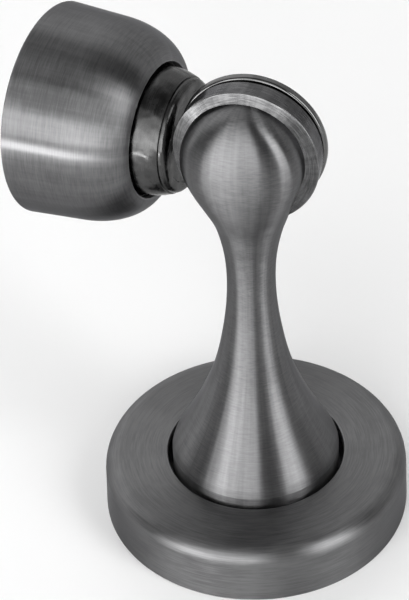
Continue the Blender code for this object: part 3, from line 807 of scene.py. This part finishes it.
def plated_steel(name, dark, light, roughness, flake):
    """Plated steel: crystals flake millimetres across and slightly different, with a rough skin."""
    material, tree, shader = new_material(name, Metallic=1.0, Specular_Tint=(0.8, 0.8, 0.8, 1.0))
    place = millimetres(tree)
    crystals = put(tree, "ShaderNodeTexVoronoi", {"Vector": place, "Scale": 1 / flake})
    grey = put(tree, "ShaderNodeSeparateXYZ", {0: crystals.outputs["Color"]}).outputs[0]
    stains = cloud(tree, place, 4.0)
    marks = mixed(tree, grey, stains, 0.55)
    tree.links.new(shade(tree, marks, dark, light), shader.inputs["Base Color"])
    rough = spread(tree, marks, 0.2, 0.8, roughness - 0.08, roughness + 0.1)
    tree.links.new(rough, shader.inputs["Roughness"])
    lines = turning_lines(tree, place, pitch=0.25, turns=2.0)
    skin = bump(tree, cloud(tree, place, 0.25), 0.004)
    tree.links.new(bump(tree, lines, 0.003, under=skin), shader.inputs["Normal"])
    return material


def moulded(name, dark, light, roughness, grain, depth):
    """Rubber or plastic: matt, with a fine moulded grain and dusty patches."""
    material, tree, shader = new_material(name)
    place = millimetres(tree)
    dust = cloud(tree, place, 1.6)
    base = shade(tree, spread(tree, dust, 0.35, 0.75, 0.0, 1.0), dark, light)
    tree.links.new(base, shader.inputs["Base Color"])
    rough = spread(tree, dust, 0.3, 0.7, roughness - 0.1, roughness + 0.1)
    tree.links.new(rough, shader.inputs["Roughness"])
    tree.links.new(bump(tree, cloud(tree, place, grain), depth), shader.inputs["Normal"])
    return material


def floor_material():
    """Pale matt studio floor, with a barely visible mottle."""
    material, tree, shader = new_material("studio_floor", Specular_IOR_Level=0.2)
    place = millimetres(tree)
    mottle = cloud(tree, place, 60.0)
    base = shade(tree, mottle, (0.93, 0.93, 0.93), (0.96, 0.96, 0.96))
    tree.links.new(base, shader.inputs["Base Color"])
    tree.links.new(spread(tree, mottle, 0.3, 0.7, 0.6, 0.75), shader.inputs["Roughness"])
    tree.links.new(bump(tree, cloud(tree, place, 1.5), 0.01), shader.inputs["Normal"])
    return material


# Dark and light shades, roughness, and what else the kind of finish takes
MATERIALS = {
    "satin_nickel": brushed_metal("satin_nickel", (0.11, 0.11, 0.112), (0.186, 0.186, 0.189), 0.36),
    "fine_satin_nickel": brushed_metal(
        "fine_satin_nickel",
        (0.118, 0.118, 0.12),
        (0.168, 0.168, 0.17),
        0.4,
        depth=0.006,
        anisotropy=0.75,
        reflection_streak_share=0.0,
    ),
    # Darker copy of the post's satin nickel for the flange: a buffed finish, and painted shade for
    # its ring that lies dark by the nose
    "buffed_satin_nickel_painted_shade": brushed_metal(
        "buffed_satin_nickel_painted_shade",
        (0.05, 0.05, 0.051),
        (0.15, 0.15, 0.152),
        0.25,
        anisotropy=0.6,
        reflection_streak_share=0.3,
    ),
    # Lighter copy of the nose's polished nickel for the cup's rim: a painted highlight for the
    # rim's bright glints
    "polished_nickel_with_painted_highlight": polished_metal(
        "polished_nickel_with_painted_highlight", (0.08, 0.08, 0.08), (0.17, 0.17, 0.17), 0.2, waviness=0.05
    ),
    "polished_nickel": polished_metal(
        "polished_nickel", (0.025, 0.025, 0.025), (0.11, 0.11, 0.11), 0.24, waviness=0.25
    ),
    "spring_steel": polished_metal(
        "spring_steel", (0.22, 0.22, 0.23), (0.34, 0.34, 0.35), 0.3, waviness=0.02
    ),
    "zinc_plated_steel": plated_steel(
        "zinc_plated_steel", (0.2, 0.205, 0.215), (0.34, 0.345, 0.355), 0.46, flake=0.7
    ),
    "magnet_plating": plated_steel(
        "magnet_plating", (0.34, 0.34, 0.34), (0.46, 0.46, 0.46), 0.26, flake=0.25
    ),
    "black_rubber": moulded(
        "black_rubber", (0.008, 0.008, 0.008), (0.02, 0.02, 0.02), 0.7, grain=0.12, depth=0.01
    ),
    "acetal": moulded(
        "acetal", (0.72, 0.72, 0.69), (0.84, 0.84, 0.82), 0.42, grain=0.5, depth=0.004
    ),
}

# Nodes that others hide, and the finishes that their CAD shapes get
HIDDEN_FINISHES = {
    "post_stud": "zinc_plated_steel",
    "lock_washer": "spring_steel",
    "keeper_bolt": "zinc_plated_steel",
    "ball_seat": "acetal",
    "follower": "zinc_plated_steel",
}


# ---------------------------------------------------------------- pieces


def make_base():
    plate = turned("floor_plate_turned", plate_outline())
    for i in range(FLOOR_SCREW_COUNT):
        angle = math.radians(90.0 + 360.0 * i / FLOOR_SCREW_COUNT)
        spot = Vector((math.cos(angle), math.sin(angle), 0.0)) * FLOOR_SCREW_CIRCLE_R * MM
        hole = countersink_outline(PLATE_THICK, 0.0)
        cut(plate, turned("hole", hole, Matrix.Translation(spot), SMALL_STEPS))
    piece(plate, "floor_plate", "base", "zinc_plated_steel")
    ring = turned("grip_ring_turned", grip_ring_outline())
    piece(ring, "grip_ring", "base", "black_rubber")


def make_cover():
    cover = turned("rosette_cover_turned", cover_outline(), steps=LARGE_STEPS)
    piece(cover, "rosette_cover", "cover", "satin_nickel", finish="fine_satin_nickel")


def make_post():
    post = leant_over(turned("post_turned", post_outline()))
    flange = turned("flange_turned", flange_outline(), HEAD_AXIS)
    for part in (post, flange):
        cut(part, turned("pocket", head_pocket_outline(), HEAD_AXIS))
    cut(post, turned("socket", stud_socket_outline(), steps=SMALL_STEPS))
    # The locking screw is at the back of the foot
    screw_axis = axis_frame((0.0, 0.0, FOOT_SCREW_HEIGHT * MM), (0.0, 1.0, 0.0))
    hole_r = GRUB_R + GAP
    cut(post, rod("grub_hole", hole_r, FOOT_HOLE_START, FOOT_HOLE_END, screw_axis))
    piece(post, "post", "post", "satin_nickel")
    # The flange's darker nickel is partly painted shade
    piece(flange, "post", "post", "satin_nickel", finish="buffed_satin_nickel_painted_shade")
    make_grub_screw("foot_grub_screw", FOOT_SCREW_START, FOOT_SCREW_END, screw_axis, "post")


def make_grub_screw(node, low, high, axis, body):
    """Headless screw with a hexagon socket at its high end."""
    screw = turned(f"{node}_turned", grub_screw_outline(low, high), axis, SMALL_STEPS)
    depth = min(GRUB_SOCKET_DEPTH, (high - low) * 0.4)
    cut(screw, rod("hexagon", GRUB_SOCKET_R, high - depth, high + 1.0, axis, sides=6))
    piece(screw, node, body, "zinc_plated_steel")


def make_magnet_head():
    cup = turned("magnet_cup_turned", cup_outline(), HEAD_AXIS)
    # The rim's lighter nickel is a painted highlight
    piece(cup, "magnet_cup", "post", "polished_nickel", finish="polished_nickel_with_painted_highlight")
    washer = turned("buffer_washer_turned", washer_outline(), HEAD_AXIS)
    piece(washer, "buffer_washer", "post", "black_rubber")
    magnet = turned("magnet_turned", magnet_outline(), HEAD_AXIS)
    piece(magnet, "magnet", "post", "magnet_plating")
    screw = turned("magnet_screw_turned", magnet_screw_outline(), HEAD_AXIS, SMALL_STEPS)
    socket_floor, socket_r = MAGNET_SCREW_SOCKET_FLOOR, MAGNET_SCREW_SOCKET_R
    cut(screw, rod("hexagon", socket_r, socket_floor, MAGNET_FACE, HEAD_AXIS, sides=6))
    piece(screw, "magnet_screw", "post", "zinc_plated_steel")


def make_nose():
    nose = turned("keeper_nose_turned", nose_outline(), DOOR_AXIS)
    cut(nose, rod("thread", NOSE_THREAD_R, NOSE_THREAD_FRONT, NOSE_THREAD_BACK, DOOR_AXIS))
    piece(nose, "keeper_nose", "keeper", "polished_nickel")


def make_door_part():
    bell = turned("door_bell_turned", bell_outline(), DOOR_AXIS, LARGE_STEPS)
    # The clamping screw is at the bell's underside, square to the door axis
    back = DOOR_AXIS.to_3x3() @ Vector((0.0, 0.0, 1.0))
    below = Vector((0.0, 0.0, -1.0))
    below -= back * below.dot(back)
    screw_axis = axis_frame(DOOR_AXIS.translation + back * BELL_SCREW_AT * MM, below)
    cut(bell, rod("clamp_hole", GRUB_R + GAP, BELL_HOLE_START, BELL_HOLE_END, screw_axis))
    piece(bell, "door_bell", "door_part", "satin_nickel")
    screw_start, screw_end = DOOR_PLATE_R + GAP, bell_radius(BELL_SCREW_AT) - GRUB_SUNK
    make_grub_screw("bell_grub_screw", screw_start, screw_end, screw_axis, "door_part")
    ring = turned("stop_ring_turned", stop_ring_outline(), DOOR_AXIS)
    # The ring's black also serves as painted shade in the gap round the nose
    piece(ring, "stop_ring", "door_part", "black_rubber")
    plate = turned("door_plate_turned", door_plate_outline(), DOOR_AXIS)
    for side in (-0.5, 0.5):
        offset = Matrix.Translation((side * DOOR_SCREW_SPACING * MM, 0.0, 0.0))
        hole = countersink_outline(DOOR_PLATE_FRONT, BELL_LENGTH)
        cut(plate, turned("hole", hole, DOOR_AXIS @ offset, SMALL_STEPS))
    piece(plate, "door_plate", "door_part", "zinc_plated_steel")


def coil(name, axis):
    """The nose spring's wire, wound round the Z of axis from its front end to its back end."""
    curve = bpy.data.curves.new(name, "CURVE")
    curve.dimensions = "3D"
    curve.bevel_depth = SPRING_WIRE_R * MM
    curve.bevel_resolution = 4
    curve.use_fill_caps = True
    line = curve.splines.new("POLY")
    line.points.add(int(SPRING_TURNS * SMALL_STEPS))
    rise = SPRING_BACK - SPRING_FRONT - 2 * SPRING_WIRE_R
    for i, point in enumerate(line.points):
        turn = 2 * math.pi * i / SMALL_STEPS
        height = SPRING_FRONT + SPRING_WIRE_R + rise * turn / (2 * math.pi * SPRING_TURNS)
        spot = Vector((SPRING_R * math.cos(turn), SPRING_R * math.sin(turn), height)) * MM
        point.co = (*spot, 1.0)
    wire = bpy.data.objects.new(name, curve)
    bpy.context.scene.collection.objects.link(wire)
    shape = bmesh.new()
    shape.from_mesh(wire.evaluated_get(bpy.context.evaluated_depsgraph_get()).to_mesh())
    bmesh.ops.remove_doubles(shape, verts=shape.verts, dist=SPRING_WIRE_R * MM / 100)
    bpy.data.objects.remove(wire)
    return object_of(name, shape, axis)


def make_nose_spring():
    """The coil behind the follower, built at rest; in the holder it is pressed together as the nose
    sinks in.
    """
    spring = coil("nose_spring_coil", DOOR_AXIS)
    piece(spring, "nose_spring", "door_part", "spring_steel")
    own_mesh(spring)


def finish_hidden_nodes():
    for node, slot in HIDDEN_FINISHES.items():
        obj = frame["nodes"][node]
        obj.data.materials.clear()
        obj.data.materials.append(MATERIALS[slot])


# ---------------------------------------------------------------- studio

# Brightness of the dim room, and of the white backdrop that only the camera sees in its place
ROOM_LEVEL = 0.16
BACKDROP_LEVEL = 1.0

# Bright panels round the object: azimuths, elevations and softness in degrees, and strength.
# Azimuth 0 is the camera's side and 90 is +X.
PANELS = [
    ((-56.0, -38.0), (-20.0, 25.0), 3.0, 3.3),
    ((-31.0, 4.0), (-20.0, 25.0), 3.0, 3.6),
    ((-56.0, 4.0), (-20.0, 54.0), 3.0, 2.0),
    ((38.0, 66.0), (-20.0, 52.0), 3.0, 5.4),
    ((-200.0, -98.0), (-20.0, 60.0), 6.0, 1.1),
    ((98.0, 200.0), (-20.0, 60.0), 6.0, 0.45),
    ((-200.0, -150.0), (-20.0, 60.0), 6.0, 0.15),
    ((150.0, 200.0), (-20.0, 60.0), 6.0, 0.3),
]

# A long low lamp on the camera's left, in metres
STRIP_AT = (-0.158, -0.154, 0.024)
STRIP_LENGTH, STRIP_HEIGHT, STRIP_LEVEL = 0.16, 0.022, 16.0

FLOOR_R = 3.0

# The photograph's viewpoint: place in metres, turn in degrees, lens and film width in millimetres
CAMERA_AT = (0.0, -0.2358, 0.2275)
CAMERA_YAW, CAMERA_PITCH, CAMERA_ROLL = -0.82, 38.1, -1.04
CAMERA_LENS, CAMERA_FILM = 116.8, 36.0
CAMERA_SHIFT_X, CAMERA_SHIFT_Y = -0.115, -0.0185


def make_floor():
    shape = bmesh.new()
    bmesh.ops.create_circle(shape, cap_ends=True, segments=SMALL_STEPS, radius=FLOOR_R)
    floor = object_of("studio_floor", shape, Matrix.Identity(4))
    floor.data.materials.append(floor_material())


def make_strip_light():
    """The strip lamp draws the bright line along the bell."""
    lamp = bpy.data.lights.new("strip", "AREA")
    lamp.shape = "RECTANGLE"
    lamp.size, lamp.size_y = STRIP_LENGTH, STRIP_HEIGHT
    lamp.energy = STRIP_LEVEL * math.pi * STRIP_LENGTH * STRIP_HEIGHT
    light = bpy.data.objects.new("strip", lamp)
    light.matrix_world = axis_frame(STRIP_AT, Vector(STRIP_AT) - DOOR_AXIS.translation)
    light.visible_camera = False
    bpy.context.scene.collection.objects.link(light)


def band(tree, angle, low, high, soft):
    """1 where the angle is from low to high, and 0 elsewhere, all in degrees.

    It fades from soft degrees inside each end to soft degrees outside it.
    """
    rising = spread(tree, angle, low - soft, low + soft, 0.0, 1.0)
    falling = spread(tree, angle, high - soft, high + soft, 1.0, 0.0)
    return maths(tree, "MULTIPLY", rising, falling)


def make_world():
    """A dim room with bright panels, which the camera sees as a plain white backdrop."""
    world = bpy.data.worlds.new("studio")
    world.use_nodes = True
    tree = world.node_tree
    way = put(tree, "ShaderNodeTexCoord").outputs["Generated"]
    x, y, z = put(tree, "ShaderNodeSeparateXYZ", {0: way}).outputs
    around = maths(tree, "ARCTAN2", x, maths(tree, "MULTIPLY", y, -1.0))
    azimuth = maths(tree, "DEGREES", around)
    elevation = maths(tree, "DEGREES", maths(tree, "ARCSINE", z))
    level = ROOM_LEVEL
    for azimuths, elevations, soft, strength in PANELS:
        across = band(tree, azimuth, *azimuths, soft)
        above = band(tree, elevation, *elevations, soft * 1.5)
        panel = maths(tree, "MULTIPLY", maths(tree, "MULTIPLY", across, above), strength)
        level = maths(tree, "ADD", level, panel)
    seen = put(tree, "ShaderNodeLightPath").outputs["Is Camera Ray"]
    inputs = {FACTOR: seen, VALUE_A: level, VALUE_B: BACKDROP_LEVEL}
    shown = put(tree, "ShaderNodeMix", inputs).outputs[0]
    background = tree.nodes["Background"]
    background.inputs["Color"].default_value = (1.0, 1.0, 1.0, 1.0)
    tree.links.new(shown, background.inputs["Strength"])
    bpy.context.scene.world = world


def make_camera():
    """A camera in front and above that looks down past the middle of the post."""
    yaw, pitch = math.radians(CAMERA_YAW), math.radians(CAMERA_PITCH)
    roll = math.radians(CAMERA_ROLL)
    forward = Vector(
        (-math.sin(yaw) * math.cos(pitch), math.cos(yaw) * math.cos(pitch), -math.sin(pitch))
    )
    right = Vector((math.cos(yaw), math.sin(yaw), 0.0))
    up = right.cross(forward)
    across = right * math.cos(roll) + up * math.sin(roll)
    over = up * math.cos(roll) - right * math.sin(roll)
    lens = bpy.data.cameras.new("camera")
    lens.lens, lens.sensor_width = CAMERA_LENS, CAMERA_FILM
    lens.shift_x, lens.shift_y = CAMERA_SHIFT_X, CAMERA_SHIFT_Y
    lens.clip_start, lens.clip_end = 0.01, 10.0
    camera = bpy.data.objects.new("camera", lens)
    turn = Matrix((across, over, -forward)).transposed().to_4x4()
    camera.matrix_world = Matrix.Translation(CAMERA_AT) @ turn
    bpy.context.scene.collection.objects.link(camera)
    bpy.context.scene.camera = camera


make_base()
make_cover()
make_post()
make_magnet_head()
make_nose()
make_door_part()
make_nose_spring()
finish_hidden_nodes()

make_floor()
make_strip_light()
make_world()
make_camera()
bpy.context.scene.view_settings.view_transform = "Standard"
